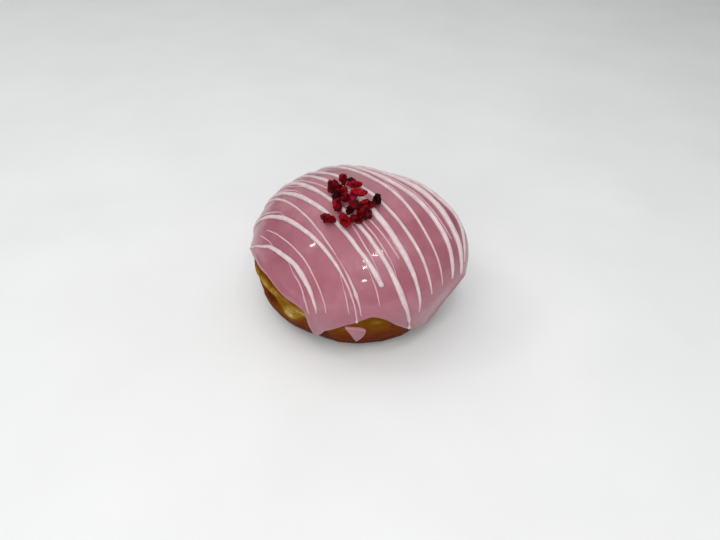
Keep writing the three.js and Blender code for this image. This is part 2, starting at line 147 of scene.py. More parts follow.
# Which ends of a strand run into which other strands, and how many degrees of swing they go on.
JOINS = {
    "a_side": {"start": ("a", 14)}, "a_thread": {"end": ("a", 9)}, "c_tail": {"end": ("c", 9)},
    "c_left": {"start": ("c", 9)}, "c_right": {"start": ("d", 9)}, "e_tail": {"end": ("e", 9)},
    "e_thread": {"end": ("e", 9)}, "e_drop": {"start": ("e", 9)}, "f_tail": {"end": ("f", 9)},
    "f_thread": {"end": ("f", 9)}, "j_thread": {"start": ("k", 9), "end": ("j", 9)},
}
# Strands that end in a drop at the front: its extra breadth, its length, how far it is from the end,
# and how much the strand is drawn in above it, all in mm.
BEADS = {"c": (0.7, 0.7, 0.7, 0.0), "e": (0.5, 0.8, 0.9, 0.0), "f": (0.75, 1.1, 1.3, 0.7)}
NECK_LENGTH = 1.6 * MM
NARROWEST_NECK = 0.4 * MM
BEAD_RISE = 0.7  # how much higher the strand is at the drop, as a share
# Where a strand swells on its way: the swing there, its reach in degrees and the added share.
SWELLS = {
    "f": (162, 8, 0.45), "c_right": (156, 2.5, 0.5), "a": (128, 10, 0.2), "h": (142, 12, 0.15),
}

# ---- helpers ---------------------------------------------------------------------------------


def vertices_of(node):
    """The corners of a CAD node, each once."""
    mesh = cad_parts[node].data
    flat = np.empty(len(mesh.vertices) * 3)
    mesh.vertices.foreach_get("co", flat)
    return np.unique(np.round(flat.reshape(-1, 3), 6), axis=0)


def tree_of(mesh):
    corners = [v.co.copy() for v in mesh.vertices]
    return BVHTree.FromPolygons(corners, [tuple(p.vertices) for p in mesh.polygons])


def directions(bearing, polar):
    """Unit vectors for arrays of bearings and polar angles in degrees."""
    b, p = np.broadcast_arrays(np.radians(bearing), np.radians(polar))
    return np.stack([np.sin(p) * np.cos(b), np.sin(p) * np.sin(b), np.cos(p)], -1)


def angles_of(points):
    """Bearings and polar angles, in degrees, of points around EYE."""
    rel = np.asarray(points) - np.array(EYE)
    bearing = np.degrees(np.arctan2(rel[..., 1], rel[..., 0]))
    polar = np.degrees(np.arctan2(np.hypot(rel[..., 0], rel[..., 1]), rel[..., 2]))
    return bearing, polar


def smooth_step(low, high, value):
    t = np.clip((value - low) / (high - low), 0, 1)
    return t * t * (3 - 2 * t)


def bump(value, centre, reach):
    return np.exp(-(((value - centre) / reach) ** 2))


def window(fades, value):
    """1 between a rise and a fall and 0 outside them; fades has the start and end of each."""
    rise_start, rise_end, fall_start, fall_end = fades
    return smooth_step(rise_start, rise_end, value) * (1 - smooth_step(fall_start, fall_end, value))


def turn_gap(a, b):
    """Signed difference of two bearings in degrees, from -180 to 180."""
    return (np.asarray(a) - b + 180) % 360 - 180


def swelling(row, bearing, polar):
    """The height of a local swelling, in mm."""
    at, reach, level, depth, height = row
    return height * bump(turn_gap(bearing, at), 0, reach) * bump(polar, level, depth)


def noise_field(points, size_mm, seed, stretch=(1, 1, 1)):
    """Smooth noise from -1 to 1 at each point; its lumps are about size_mm across."""
    scale = np.array(stretch) / (size_mm * MM)
    shifted = np.asarray(points) * scale + np.array([seed * 7.31, seed * 3.17, seed * 5.53])
    return np.array([noise.noise(Vector(p)) for p in shifted.reshape(-1, 3)]).reshape(shifted.shape[:-1])


def layered(points, layers):
    """The sum of several layers of smooth noise."""
    return sum(height * noise_field(points, *layer) for height, *layer in layers)


def cell_field(points, size_mm, seed):
    """Distance to the nearest and second nearest of scattered spots, as shares of their spacing."""
    shifted = np.asarray(points) / (size_mm * MM) + np.array([seed * 2.9, seed * 8.3, seed * 4.7])
    found = [noise.voronoi(Vector(p))[0][:2] for p in shifted.reshape(-1, 3)]
    return np.array(found).reshape(shifted.shape[:-1] + (2,))


def catmull(values, positions):
    """A smooth curve through evenly spaced values (rows), read at fractional row positions."""
    values = np.asarray(values, float)
    last = len(values) - 1
    at = np.clip(positions, 0, last)
    i = np.minimum(at.astype(int), last - 1)
    t = (at - i).reshape((-1,) + (1,) * (values.ndim - 1))
    before, here = values[np.maximum(i - 1, 0)], values[i]
    after, beyond = values[i + 1], values[np.minimum(i + 2, last)]
    rise = (after - before) / 2
    fall = (beyond - here) / 2
    curve = 2 * here - 2 * after + rise + fall
    bend = 3 * after - 3 * here - 2 * rise - fall
    return ((curve * t + bend) * t + rise) * t + here


def make_mesh(name, corners, faces, material, tint=None):
    """A smooth-shaded piece. Every face points outwards."""
    mesh = bpy.data.meshes.new(name)
    mesh.from_pydata([tuple(c) for c in corners], [], faces)
    mesh.validate()
    if tint is not None:
        layer = mesh.attributes.new("tint", "FLOAT", "POINT")
        layer.data.foreach_set("value", np.asarray(tint, np.float32))
    mesh.shade_smooth()
    mesh.materials.append(material)
    piece = bpy.data.objects.new(name, mesh)
    bpy.context.scene.collection.objects.link(piece)
    return piece


def belongs(piece, node):
    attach(piece, "root")
    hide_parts(node)
    return piece


def rings_to_faces(rings, columns, start=0, flip=False):
    """Quads between closed rings of corners that follow each other in a list."""
    faces = []
    for ring in range(rings - 1):
        for column in range(columns):
            a = start + ring * columns + column
            b = start + ring * columns + (column + 1) % columns
            quad = (a, b, b + columns, a + columns)
            faces.append(quad[::-1] if flip else quad)
    return faces


# ---- the shared shape: a map of the CAD bun without its facets -------------------------------


def blur_rows(values, reach):
    """Gaussian blur down the first axis, the edge rows held."""
    size = int(3 * reach) + 1
    weights = bump(np.arange(-size, size + 1), 0, reach * math.sqrt(2))
    padded = np.concatenate([values[size:0:-1], values, values[-2:-size - 2:-1]])
    return sum(w * padded[i:i + len(values)] for i, w in enumerate(weights)) / weights.sum()


def blur_columns(values, reach):
    """Gaussian blur round the second axis, which closes on itself."""
    size = int(3 * reach) + 1
    weights = bump(np.arange(-size, size + 1), 0, reach * math.sqrt(2))
    return sum(w * np.roll(values, i - size, axis=1) for i, w in enumerate(weights)) / weights.sum()


def sample_bun():
    """Distance from EYE to the CAD bun in every direction, one row for each polar angle."""
    tree = tree_of(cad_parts["dough"].data)
    bearings = np.arange(0, 360, MAP_STEP)
    polars = np.arange(0, 180 + MAP_STEP, MAP_STEP)
    radii = np.array(
        [[tree.ray_cast(EYE, Vector(d))[3] for d in directions(bearings, p)] for p in polars]
    )
    reach = MAP_BLUR / MAP_STEP
    return blur_columns(blur_rows(radii, reach), reach)


BUN_MAP = sample_bun()


def bun_radius(bearing, polar):
    """The smooth bun map, read between its samples with a cubic curve both ways."""
    rows, columns = BUN_MAP.shape
    padded = np.concatenate([np.roll(BUN_MAP[2:0:-1], columns // 2, 1), BUN_MAP,
                             np.roll(BUN_MAP[-2:-4:-1], columns // 2, 1)])
    row, column = np.asarray(polar) / MAP_STEP + 2, (np.asarray(bearing) % 360) / MAP_STEP
    row = np.clip(row, 1, rows + 1.999)
    i, j = row.astype(int), column.astype(int)
    u, v = row - i, column - j

    def weights(t):
        return (-t**3 / 2 + t**2 - t / 2, 3 * t**3 / 2 - 5 * t**2 / 2 + 1,
                -3 * t**3 / 2 + 2 * t**2 + t / 2, t**3 / 2 - t**2 / 2)

    total = 0
    for a, wa in enumerate(weights(u)):
        for b, wb in enumerate(weights(v)):
            total = total + wa * wb * padded[i + a - 1, (j + b - 1) % columns]
    return total


def bare_points(bearing, polar):
    """Points of the smooth bun."""
    radius = bun_radius(bearing, polar)
    return np.array(EYE) + directions(bearing, polar) * radius[..., None]


def bare_normals(bearing, polar):
    """Outward directions of the smooth bun."""
    step = 0.8
    polar = np.clip(polar, 1.0, 179)
    round_step = step / np.maximum(np.sin(np.radians(polar)), 0.05)
    round_way = bare_points(bearing + round_step, polar) - bare_points(bearing - round_step, polar)
    down_way = bare_points(bearing, polar + step) - bare_points(bearing, np.maximum(polar - step, 0))
    normal = np.cross(down_way, round_way)
    normal /= np.linalg.norm(normal, axis=-1, keepdims=True)
    return normal


def layer_points(bearing, polar, lift):
    """Points that stand `lift` metres off the bun, with the lumps that all its layers share."""
    points, normals = bare_points(bearing, polar), bare_normals(bearing, polar)
    lumps = layered(points, LUMPS) + swelling(LEFT_SWELLING, bearing, polar)
    return points + normals * (lumps * MM + lift)[..., None]


# ---- materials -------------------------------------------------------------------------------


class Look:
    """A Principled material with short calls for the nodes that drive it."""

    def __init__(self, name, **constants):
        self.material = bpy.data.materials.new(name)
        self.material.use_nodes = True
        self.nodes = self.material.node_tree.nodes
        self.links = self.material.node_tree.links
        self.shader = self.nodes["Principled BSDF"]
        self.where = self.nodes.new("ShaderNodeTexCoord").outputs["Object"]
        for socket, value in constants.items():
            self.shader.inputs[socket.replace("_", " ")].default_value = value

    def link(self, source, socket):
        self.links.new(source, self.shader.inputs[socket])

    def noise(self, size_mm, detail, roughness=0.5, distortion=0.0, stretch=(1, 1, 1)):
        """Smooth noise with lumps about size_mm across."""
        mapping = self.nodes.new("ShaderNodeMapping")
        mapping.inputs["Scale"].default_value = [s * 1000 / size_mm for s in stretch]
        self.links.new(self.where, mapping.inputs["Vector"])
        node = self.nodes.new("ShaderNodeTexNoise")
        node.inputs["Scale"].default_value = 1.0
        node.inputs["Detail"].default_value = detail
        node.inputs["Roughness"].default_value = roughness
        node.inputs["Distortion"].default_value = distortion
        self.links.new(mapping.outputs[0], node.inputs["Vector"])
        return node.outputs["Fac"]

    def cells(self, size_mm):
        """Distance to the nearest of spots scattered about size_mm apart."""
        mapping = self.nodes.new("ShaderNodeMapping")
        mapping.inputs["Scale"].default_value = [1000 / size_mm] * 3
        self.links.new(self.where, mapping.inputs["Vector"])
        node = self.nodes.new("ShaderNodeTexVoronoi")
        node.inputs["Scale"].default_value = 1.0
        self.links.new(mapping.outputs[0], node.inputs["Vector"])
        return node.outputs["Distance"]

    def height(self):
        """Height above the ground in metres."""
        split = self.nodes.new("ShaderNodeSeparateXYZ")
        self.links.new(self.where, split.inputs[0])
        return split.outputs["Z"]

    def attribute(self, name):
        node = self.nodes.new("ShaderNodeAttribute")
        node.attribute_name = name
        return node.outputs["Fac"]

    def ramp(self, source, *stops):
        """A colour for each value of the source, between stops of (value, colour)."""
        node = self.nodes.new("ShaderNodeValToRGB")
        elements = node.color_ramp.elements
        while len(elements) < len(stops):
            elements.new(0.5)
        for element, (position, colour) in zip(elements, stops):
            element.position = position
            element.color = (*colour, 1)
        self.links.new(source, node.inputs["Fac"])
        return node.outputs["Color"]

    def remap(self, source, from_low, from_high, to_low=0.0, to_high=1.0):
        """The source's values from one range to another, held at its ends."""
        node = self.nodes.new("ShaderNodeMapRange")
        node.inputs["From Min"].default_value = from_low
        node.inputs["From Max"].default_value = from_high
        node.inputs["To Min"].default_value = to_low
        node.inputs["To Max"].default_value = to_high
        self.links.new(source, node.inputs["Value"])
        return node.outputs["Result"]

    def mix(self, amount, first, second):
        """The first colour turned by the amount, both sockets, towards the second, a constant."""
        node = self.nodes.new("ShaderNodeMix")
        node.data_type = "RGBA"
        factor, colour_a, colour_b = node.inputs[0], node.inputs[6], node.inputs[7]
        self.links.new(amount, factor)
        self.links.new(first, colour_a)
        colour_b.default_value = (*second, 1)
        return node.outputs[2]

    def plus(self, first, second):
        node = self.nodes.new("ShaderNodeMath")
        node.operation = "ADD"
        self.links.new(first, node.inputs[0])
        self.links.new(second, node.inputs[1])
        return node.outputs[0]

    def times(self, source, share):
        node = self.nodes.new("ShaderNodeMath")
        node.operation = "MULTIPLY"
        self.links.new(source, node.inputs[0])
        node.inputs[1].default_value = share
        return node.outputs[0]

    def bumps(self, *layers):
        """Bump layers as (height source, height in mm), the coarsest first."""
        normal = None
        for source, depth_mm in layers:
            node = self.nodes.new("ShaderNodeBump")
            node.inputs["Strength"].default_value = 1.0
            node.inputs["Distance"].default_value = depth_mm * MM
            self.links.new(source, node.inputs["Height"])
            if normal is not None:
                self.links.new(normal, node.inputs["Normal"])
            normal = node.outputs["Normal"]
        self.link(normal, "Normal")


def rgb(red, green, blue):
    """An sRGB colour out of 255 as the linear one that shaders take."""
    return tuple(
        c / 12.92 if c <= 0.04045 else ((c + 0.055) / 1.055) ** 2.4
        for c in (red / 255, green / 255, blue / 255)
    )


def glaze_look():
    look = Look("pink_glaze", Roughness=0.34, IOR=1.46, Subsurface_Weight=0.1,
                Subsurface_Scale=0.0015, Coat_Weight=0.5, Coat_Roughness=0.08)
    look.shader.inputs["Subsurface Radius"].default_value = (1.0, 0.45, 0.5)
    clouds = look.noise(9, detail=4, roughness=0.55)
    colour = look.ramp(
        clouds, (0.3, rgb(147, 86, 98)), (0.52, rgb(155, 94, 106)), (0.75, rgb(164, 104, 116)),
    )
    # Darker and more purple low on the sides: partly the glaze's own colour, partly painted shade.
    low = look.remap(look.height(), 0.006, 0.034, 1.0, 0.0)
    colour = look.mix(look.times(low, 0.5), colour, rgb(147, 82, 99))
    specks = look.remap(look.cells(1.7), 0.0, 0.16, 1.0, 0.0)
    colour = look.mix(look.times(specks, 0.1), colour, rgb(118, 48, 66))
    # Painted highlight along the rim, carried by the vertex tint.
    colour = look.mix(look.attribute("tint"), colour, rgb(204, 148, 153))
    look.link(colour, "Base Color")
    look.link(look.remap(look.noise(3.5, 3), 0.3, 0.7, 0.28, 0.4), "Roughness")
    look.bumps((look.noise(4.2, 2), 0.16), (look.noise(1.4, 3, 0.6), 0.06))
    return look.material


def icing_look():
    look = Look("white_icing", Roughness=0.4, IOR=1.46, Subsurface_Weight=0.2,
                Subsurface_Scale=0.0012, Coat_Weight=0.15, Coat_Roughness=0.2)
    look.shader.inputs["Subsurface Radius"].default_value = (1.0, 0.7, 0.6)
    clouds = look.noise(2.6, 3)
    white = look.ramp(clouds, (0.3, rgb(194, 169, 173)), (0.7, rgb(209, 190, 191)))
    colour = look.mix(look.attribute("tint"), white, rgb(198, 142, 152))
    look.link(colour, "Base Color")
    look.link(look.remap(clouds, 0.3, 0.7, 0.32, 0.48), "Roughness")
    look.bumps((look.noise(1.3, 2), 0.04))
    return look.material


def dough_look():
    """Fried dough. The vertex tint is how dark it is, from 0, pale, to 1, nearly burnt, painted shade
    and highlight included.
    """
    look = Look("fried_dough", Roughness=0.45, IOR=1.4, Specular_IOR_Level=0.02,
                Subsurface_Weight=0.03, Subsurface_Scale=0.0015)
    look.shader.inputs["Subsurface Radius"].default_value = (1.0, 0.5, 0.2)
    wander = look.remap(look.noise(5, 5, 0.62, 0.4), 0.25, 0.75, -0.13, 0.13)
    brown_and_painted_light = look.plus(look.attribute("tint"), wander)
    colour = look.ramp(
        brown_and_painted_light,
        (0.0, rgb(208, 182, 124)), (0.2, rgb(158, 123, 48)), (0.4, rgb(112, 72, 4)),
        (0.6, rgb(108, 46, 2)), (0.8, rgb(90, 24, 2)), (1.0, rgb(50, 14, 2)),
    )
    grain = look.remap(look.noise(0.7, 4, 0.65), 0.35, 0.75)
    colour = look.mix(look.times(grain, 0.12), colour, rgb(150, 104, 24))
    pores = look.remap(look.cells(1.1), 0.0, 0.34, 1.0, 0.0)
    colour = look.mix(look.times(pores, 0.55), colour, rgb(66, 32, 5))
    blisters = look.remap(look.noise(1.5, 3, 0.6, 0.5), 0.42, 0.62)
    colour = look.mix(look.times(blisters, 0.22), colour, rgb(92, 52, 6))
    look.link(colour, "Base Color")
    look.link(look.remap(look.noise(4, 3), 0.3, 0.7, 0.32, 0.6), "Roughness")
    wrinkles = look.noise(2.4, 4, 0.6, 0.3, (1, 1, 1.6))
    look.bumps((wrinkles, 0.55), (pores, -0.12), (look.noise(0.5, 3, 0.6), 0.14))
    return look.material


def berry_look():
    """Dried raspberry. The vertex tint is its own colour, from 0, black-red, over 0.5, red, to 1,
    magenta, with painted shade in its grooves.
    """
    look = Look("dried_raspberry", Roughness=0.5, IOR=1.4, Specular_IOR_Level=0.1)
    clouds = look.noise(2.0, 4, 0.6)
    kind_and_shade = look.plus(look.attribute("tint"), look.remap(clouds, 0.25, 0.75, -0.22, 0.22))
    colour = look.ramp(
        kind_and_shade,
        (0.0, rgb(22, 2, 5)), (0.3, rgb(60, 2, 7)), (0.55, rgb(112, 4, 13)),
        (0.8, rgb(146, 8, 26)), (1.0, rgb(160, 20, 60)),
    )
    look.link(colour, "Base Color")
    look.link(look.remap(look.noise(0.8, 3), 0.3, 0.7, 0.18, 0.5), "Roughness")
    look.bumps((look.noise(0.7, 4, 0.65), 0.12), (look.noise(0.25, 2), 0.03))
    return look.material


def floor_look():
    look = Look("pale_floor", Roughness=0.6)
    colour = look.ramp(look.noise(60, 3), (0.3, rgb(222, 222, 221)), (0.7, rgb(227, 227, 226)))
    look.link(colour, "Base Color")
    return look.material


# ---- the bun ---------------------------------------------------------------------------------

# The fold left by the frying on the near left side: (bearing, polar angle) of its crest, and the
# bearings where it comes in and goes out.
FOLD = ((192, 86), (206, 86), (216, 86), (222, 87), (227, 91), (234, 95))
FOLD_FADES = (188, 198, 220, 236)
CREST = (0.9, 0, 1.9)  # height in mm, then the place below the crest and the reach in degrees
HOLLOW = (1.2, 7, 3.4)  # the same for the depth of the hollow under it
WRINKLED_BEARINGS = (190, 200, 238, 252)  # where the wrinkles come in and go out
WRINKLED_POLARS = (90, 9)  # the polar angle of the strongest wrinkles and their reach

# The weak seam all round, where the two fried halves of the bun meet.
SEAM, SEAM_WANDER, SEAM_REACH = 94, 5, 2.2  # degrees
SEAM_DEPTH, SEAM_UNEVENNESS = 0.28, 0.22  # mm


def fold_relief(bearing, polar, points):
    """The crest of the fold, the hollow right under it and the swellings beside it, in mm."""
    bearings, polars = zip(*FOLD)
    below = polar - np.interp(bearing, bearings, polars)
    ridge = CREST[0] * bump(below, *CREST[1:]) - HOLLOW[0] * bump(below, *HOLLOW[1:])
    swellings = sum(swelling(row, bearing, polar) for row in FOLD_SWELLINGS)
    wrinkles = layered(points, FOLD_WRINKLES) * window(WRINKLED_BEARINGS, bearing)
    wrinkles = wrinkles * bump(polar, *WRINKLED_POLARS)
    return ridge * window(FOLD_FADES, bearing) + swellings + wrinkles


def seam_relief(polar, points):
    wander = SEAM + SEAM_WANDER * noise_field(points, 34, 11)
    depth = SEAM_DEPTH + SEAM_UNEVENNESS * noise_field(points, 16, 12)
    return -depth * bump(polar, wander, SEAM_REACH)


def skin_relief(points):
    """Small bumps all over the skin and patches of pits, in mm."""
    to_middle = cell_field(points, PIT_SPACING, 23)[..., 0]
    pitted = noise_field(points, 8, 24) > 0.05
    return layered(points, SKIN_BUMPS) - PIT_DEPTH * (1 - smooth_step(*PIT_EDGE, to_middle)) * pitted


# How brown the skin is at a height in mm: nearly burnt at the foot, golden under the glaze.
BROWN_HEIGHTS = (0, 4, 9, 13, 17, 21, 24, 30)
BROWN_VALUES = (1.0, 0.9, 0.8, 0.66, 0.53, 0.44, 0.38, 0.42)

# Spots on the near left side: bearing, its reach, height, its reach, and how much darker, or below 0
# paler.
BROWN_SPOTS = (
    (211, 9, 19, 2.6, 0.42), (210, 14, 25.0, 1.3, -0.26),
    # The spot at 229 below is partly the skin's own pale patch, partly a painted highlight.
    (229, 7, 17.8, 2.8, -0.47), (237, 7, 21.5, 2.8, -0.34),
)
PAINTED_RIM_SHADE, PAINTED_RIM_SHADE_REACH = 0.26, 2.0  # painted shade right under the glaze's rim, falling off over this many degrees
POLE_BROWNING = (0.5, 1.0)  # how brown the bun is at the middle of its top and of its foot


def browning_and_painted_light(bearing, polar, points, rim_polar):
    """How dark the bun's skin is, from 0, pale, to 1, nearly burnt; it holds painted shade and a painted
    highlight.
    """
    height = points[:, 2] / MM
    brown_and_painted_light = np.interp(height, BROWN_HEIGHTS, BROWN_VALUES)
    # These spots darken or pale the skin; the pale one at 229 is partly a painted highlight.
    for at, reach, level, depth, amount in BROWN_SPOTS:
        brown_and_painted_light += amount * bump(turn_gap(bearing, at), 0, reach) * bump(height, level, depth)
    # Painted shade where the glaze's rim overhangs the skin.
    below_rim = np.maximum(polar - rim_polar, 0)
    brown_and_painted_light += PAINTED_RIM_SHADE * np.exp(-below_rim / PAINTED_RIM_SHADE_REACH)
    brown_and_painted_light += layered(points, BROWN_WANDER)
    return np.clip(brown_and_painted_light, 0, 1)


def make_bun(material):
    _, outline = rim_of("glaze")
    rim_bearing, rim_polar = place_angles(outline)
    order = np.argsort(rim_bearing)
    rim_bearing, rim_polar = rim_bearing[order], rim_polar[order]
    rows = np.concatenate([
        np.arange(COARSE_STEP, FINE_BAND[0], COARSE_STEP),
        np.arange(FINE_BAND[0], FINE_BAND[1], FINE_STEP),
        np.arange(FINE_BAND[1], LAST_ROW, COARSE_STEP),
    ])
    bearing, polar = np.meshgrid(np.arange(BUN_COLUMNS) * 360 / BUN_COLUMNS, rows)
    bearing, polar = bearing.ravel(), polar.ravel()
    points = bare_points(bearing, polar)
    lift = fold_relief(bearing, polar, points) + seam_relief(polar, points) + skin_relief(points)
    corners = layer_points(bearing, polar, lift * window(SKIN_FADES, polar) * MM)
    corners[:, 2] = np.maximum(corners[:, 2], 0)
    top = layer_points(np.array([0.0]), np.array([0.0]), np.array([0.0]))
    foot = np.array([[0.0, 0.0, 0.0]])
    corners = np.concatenate([corners, top, foot])

    faces = rings_to_faces(len(rows), BUN_COLUMNS, flip=True)
    count = len(rows) * BUN_COLUMNS
    last = count - BUN_COLUMNS
    for column in range(BUN_COLUMNS):
        after = (column + 1) % BUN_COLUMNS
        faces.append((count, column, after))
        faces.append((count + 1, last + after, last + column))
    rim_here = np.interp(turn_gap(bearing, 0), rim_bearing, rim_polar, period=360)
    tint = np.concatenate([browning_and_painted_light(bearing, polar, corners[:-2], rim_here), POLE_BROWNING])
    return belongs(make_mesh("bun", corners, faces, material, tint), "dough")


# ---- the glaze -------------------------------------------------------------------------------


def flat_place(bearing, polar):
    """A place on the flattened map, where the distance from the middle is the polar angle."""
    b = np.radians(bearing)
    return np.stack([polar * np.cos(b), polar * np.sin(b)], -1)


def place_angles(flat):
    return np.degrees(np.arctan2(flat[..., 1], flat[..., 0])), np.hypot(flat[..., 0], flat[..., 1])


def rim_of(node):
    """The middle of a CAD coat and its outline, both on the flattened map."""
    tree = tree_of(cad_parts[node].data)
    bearing, polar = angles_of(vertices_of(node))
    if bearing.max() - bearing.min() > 180:
        middle = np.zeros(2)
    else:
        middle = flat_place(bearing, polar).mean(0)
    outline = []
    for heading in np.linspace(0, 2 * math.pi, RIM_SAMPLES, endpoint=False):
        way = np.array([math.cos(heading), math.sin(heading)])
        inner, outer = 0.0, FARTHEST_RIM
        for _ in range(RIM_HALVINGS):
            reach = (inner + outer) / 2
            b, p = place_angles(middle + way * reach)
            if tree.ray_cast(EYE, Vector(directions(b, p)))[3] is None:
                outer = reach
            else:
                inner = reach
        outline.append(middle + way * inner)
    return middle, np.array(outline)


def spread_evenly(outline, count):
    """The same closed outline with corners at even distances on the bun, its facets rounded."""
    def walk(flat):
        b, p = place_angles(flat)
        points = bare_points(b, p)
        steps = np.linalg.norm(np.roll(points, -1, 0) - points, axis=1)
        return np.concatenate([[0], np.cumsum(steps)])

    for _ in range(2):
        run = walk(outline)
        closed = np.concatenate([outline, outline[:1]])
        at = np.linspace(0, run[-1], count, endpoint=False)
        outline = np.stack([np.interp(at, run, closed[:, k]) for k in (0, 1)], -1)
    spacing = run[-1] / count
    return blur_columns(outline.T, RIM_BLUR / spacing).T


def ragged(outline, middle, amount, overhang):
    """The outline pushed out by the overhang, with small irregular waves along it."""
    b, p = place_angles(outline)
    wave = layered(bare_points(b, p), RIM_RAGGING)
    out = outline - middle
    out /= np.linalg.norm(out, axis=1, keepdims=True)
    upright = 1 - smooth_step(*UPRIGHT, p)
    shift = wave * amount + overhang / MM * upright * (1 - BAY_SHARE * window(BAY, b % 360))
    degrees_per_mm = 1 / (np.radians(1) * MEAN_DISTANCE)
    return outline + out * (shift * degrees_per_mm)[:, None]


def in_turn(outline, middle):
    """Headings round the middle made to grow steadily, so that no two columns of the coat cross."""
    rel = outline - middle
    heading = np.unwrap(np.arctan2(rel[:, 1], rel[:, 0]))
    least = 2e-4  # radians from one column to the next
    steps = np.arange(len(heading)) * least
    heading = np.maximum.accumulate(heading - steps) + steps
    reach = np.linalg.norm(rel, axis=1)
    return middle + np.stack([np.cos(heading), np.sin(heading)], -1) * reach[:, None]


def distance_to_rim(points, rim_points):
    nearest = np.empty(len(points))
    for start in range(0, len(points), CHUNK):
        part = points[start:start + CHUNK]
        gaps = np.linalg.norm(part[:, None] - rim_points[None], axis=2)
        nearest[start:start + CHUNK] = gaps.min(1)
    return nearest


def coat_lift(coat, points, polar, to_rim):
    """How far the top of a coat stands off the bun: a rounded rim, a swollen lip, slow waves."""
    edge = np.clip(to_rim / coat.rounding, 0, 1)
    rounded = np.sqrt(1 - (1 - edge) ** 2)
    run_off = GLAZE_RUN_OFF * smooth_step(*RUN_OFF_BAND, polar)
    lip = coat.lip * bump(to_rim, LIP_PLACE, LIP_REACH)
    waves = layered(points, GLAZE_WAVES) * MM * smooth_step(0, WAVELESS_RIM, to_rim)
    return (coat.thickness + run_off + lip + waves) * rounded - RIM_TUCK * (1 - edge) ** 3


def ring_shares(length, spacing):
    """Where the rings of a coat's top lie, from 1 at the rim towards 0 at its middle."""
    near_rim = np.array(RIM_RINGS) * MM
    far = np.arange(near_rim[-1] + spacing, length - 0.4 * spacing, spacing)
    return 1 - np.concatenate([near_rim[near_rim < length * 0.8], far]) / length


def rings_between(middle, outline, shares):
    """Bearings and polar angles of the corners of a coat's rings, ring by ring."""
    flat = middle + shares[:, None, None] * (outline - middle)
    return place_angles(flat.reshape(-1, 2))


def coat_faces(columns, rings, under_rings):
    """Faces of a coat: its top, its underside, the rim between them and the middle of each."""
    faces = rings_to_faces(rings, columns)
    faces += rings_to_faces(under_rings, columns, rings * columns, flip=True)
    crown = (rings + under_rings) * columns
    last_top = (rings - 1) * columns
    last_under = crown - columns
    for column in range(columns):
        after = (column + 1) % columns
        faces.append((crown, last_top + column, last_top + after))
        faces.append((crown + 1, last_under + after, last_under + column))
        faces.append((after, column, rings * columns + column, rings * columns + after))
    return faces


def make_coat(name, node, material, coat):
    middle, outline = rim_of(node)
    outline = spread_evenly(outline, coat.columns)
    outline = in_turn(ragged(outline, middle, coat.ragging, coat.overhang), middle)
    rim_points = bare_points(*place_angles(outline))

    length = np.linalg.norm(outline - middle, axis=1).mean() * np.radians(1) * MEAN_DISTANCE * MM
    shares = ring_shares(length, coat.spacing)
    bearing, polar = rings_between(middle, outline, shares)
    points = bare_points(bearing, polar)
    to_rim = distance_to_rim(points, rim_points)
    top = layer_points(bearing, polar, coat_lift(coat, points, polar, to_rim))

    under_shares = np.linspace(1, 0, UNDERSIDE_RINGS + 1)[:-1]
    bearing, polar = rings_between(middle, outline, under_shares)
    under = layer_points(bearing, polar, np.full(bearing.shape, -GLAZE_ROOT))

    bearing, polar = place_angles(middle[None])
    crown_lift = coat_lift(coat, bare_points(bearing, polar), polar, to_rim[-1:])
    crown = layer_points(bearing, polar, crown_lift)
    root = layer_points(bearing, polar, np.array([-GLAZE_ROOT]))

    corners = np.concatenate([top, under, crown, root])
    faces = coat_faces(coat.columns, len(shares), len(under_shares))
    # The painted rim highlight, carried in the vertex tint.
    most, place, reach = PAINTED_RIM_HIGHLIGHT
    tint = np.concatenate([most * bump(to_rim, place, reach), np.zeros(len(under) + 2)])
    return belongs(make_mesh(name, corners, faces, material, tint), node)


# ---- the icing -------------------------------------------------------------------------------


def strand_line(node):
    """Swing, place across and breadth of each section of a CAD strand, in order along it."""
    corners = vertices_of(node)
    rel = corners - np.array(EYE)
    swing = np.degrees(np.arctan2(rel[:, 2], rel @ np.array(ALONG)))
    swing = np.where(swing < -90, swing + 360, swing)
    order = np.argsort(swing)
    breaks = np.nonzero(np.diff(swing[order]) > 2.0)[0] + 1
    line = []
    for group in np.split(order, breaks):
        section = corners[group]
        spread = np.linalg.norm(section[:, None] - section[None], axis=2).max()
        line.append((swing[group].mean(), (section @ np.array(SIDE)).mean(), spread / CAD_SECTION_SHARE))
    return np.array(line)


def end_round(run, length, reach):
    """1 along a strand, falling to 0 at both ends on a quarter circle."""
    gap = np.clip(np.minimum(run, length - run) / np.maximum(reach, 1e-6), 0, 1)
    return np.sqrt(np.clip(1 - (1 - gap) ** 2, 0, 1))


def place_on(tree, swing, across):
    """Points of the glaze under a strand, found from above, and the glaze's outward directions."""
    points = []
    for s, a in zip(np.radians(swing), across):
        way = ALONG * math.cos(s) + Vector((0, 0, math.sin(s)))
        origin = SIDE * a + EYE
        hit = tree.ray_cast(origin + way * OUTSIDE, -way)[0]
        points.append(hit or origin + way * RAY_MISSED)
    points = np.array(points)
    for _ in range(2):
        points[1:-1] = (points[:-2] + 2 * points[1:-1] + points[2:]) / 4
    return points, bare_normals(*angles_of(points))


def join_end(line, end, other, reach):
    """The strand's line with one more section, inside the other strand."""
    tip, before, forward = (line[0], line[1], -1) if end == "start" else (line[-1], line[-2], 1)
    meet = np.clip(tip[0] + forward * reach, other[0, 0] + 1, other[-1, 0] - 1)
    across, breadth = (np.interp(meet, other[:, 0], other[:, k]) for k in (1, 2))
    straight_on = tip[1] + (tip[1] - before[1]) * (meet - tip[0]) / (tip[0] - before[0])
    aim = np.clip(straight_on, across - 0.3 * breadth, across + 0.3 * breadth)
    target = np.array([[meet, aim, tip[2]]])
    return np.concatenate([target, line] if end == "start" else [line, target])


